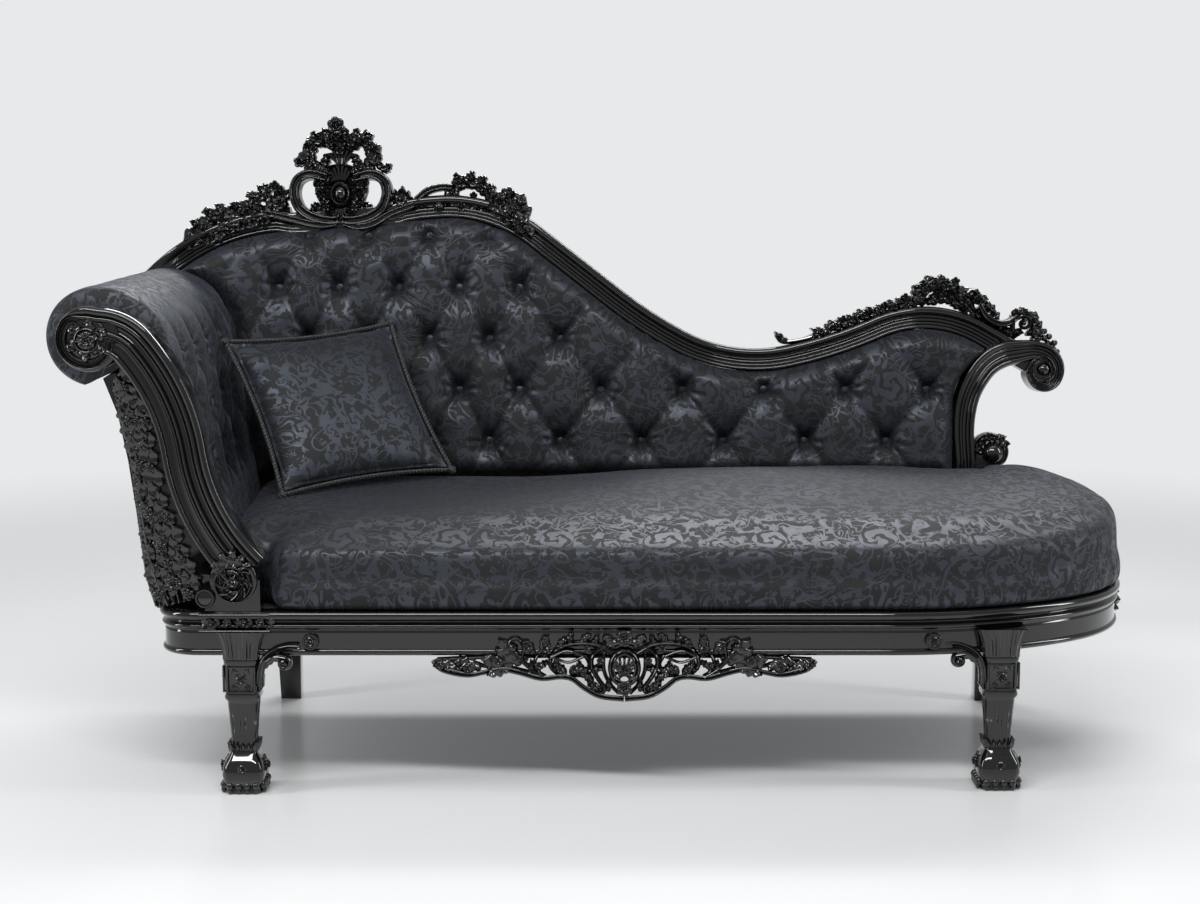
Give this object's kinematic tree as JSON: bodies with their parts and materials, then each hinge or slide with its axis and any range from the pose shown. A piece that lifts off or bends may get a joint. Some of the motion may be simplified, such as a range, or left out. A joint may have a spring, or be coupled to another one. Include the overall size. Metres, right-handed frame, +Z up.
{
  "type": "chaise longue",
  "caption": "Carved chaise longue with a serpentine tufted back, one scrolled padded arm, a round foot end, turned-out carved legs and a loose corded pillow",
  "frame": {"origin": "on the floor, under the middle of the overall length and depth", "axes": "+X along the seat from the arm to the round foot end, +Y from the front to the back, +Z up"},
  "size_m": [1.969, 0.7803, 1.1917],
  "materials": {
    "lacquered_wood": "high-gloss black lacquer over carved wood",
    "damask": "dark blue-grey satin damask, woven tone on tone",
    "pillow_damask": "satin damask, a little lighter",
    "satin_cord": "twisted satin cord",
    "inner_wood": "unfinished beech and plywood, hidden",
    "jute_webbing": "woven jute webbing, hidden",
    "cambric": "black dust cloth under the seat",
    "bolt_steel": "zinc-plated steel"
  },
  "bodies": {
    "chaise": {"front_rail": "lacquered_wood", "end_rail": "lacquered_wood", "back_rail": "lacquered_wood", "left_end_rail": "lacquered_wood", "cross_rails": "inner_wood", "leg_blocks": "inner_wood", "leg_bolts": "bolt_steel", "front_left_leg": "lacquered_wood", "front_right_leg": "lacquered_wood", "back_left_leg": "lacquered_wood", "back_right_leg": "lacquered_wood", "leg_brackets": "lacquered_wood", "rail_rosettes": "lacquered_wood", "apron_carving": "lacquered_wood", "end_cartouches": "lacquered_wood", "cross_webbing": "jute_webbing", "long_webbing": "jute_webbing", "dust_cover": "cambric", "seat_cushion": "damask", "back_top_rail": "lacquered_wood", "c_scroll": "lacquered_wood", "lower_scroll": "lacquered_wood", "arm_rear_post": "lacquered_wood", "back_bottom_rail": "inner_wood", "back_board": "inner_wood", "back_upholstery": "damask", "back_buttons": "damask", "back_outer_cover": "damask", "crest_loops": "lacquered_wood", "crest_cartouche": "lacquered_wood", "crest_crown": "lacquered_wood", "left_garland": "lacquered_wood", "right_garland": "lacquered_wood", "end_garland": "lacquered_wood", "arm_front_post": "lacquered_wood", "arm_volute_rosette": "lacquered_wood", "arm_foot_swirl": "lacquered_wood", "arm_front_panel": "lacquered_wood", "arm_roll_core": "inner_wood", "arm_board": "inner_wood", "arm_outer_cover": "damask", "arm_upholstery": "damask", "arm_buttons": "damask"},
    "pillow": {"pillow": "pillow_damask", "pillow_cord": "satin_cord"}
  },
  "joints": [
    {"name": "pillow_lift", "type": "slide", "parent": "chaise", "child": "pillow", "axis": [0.2501, -0.3002, 0.9205], "range_m": [0, 0.35]}
  ]
}
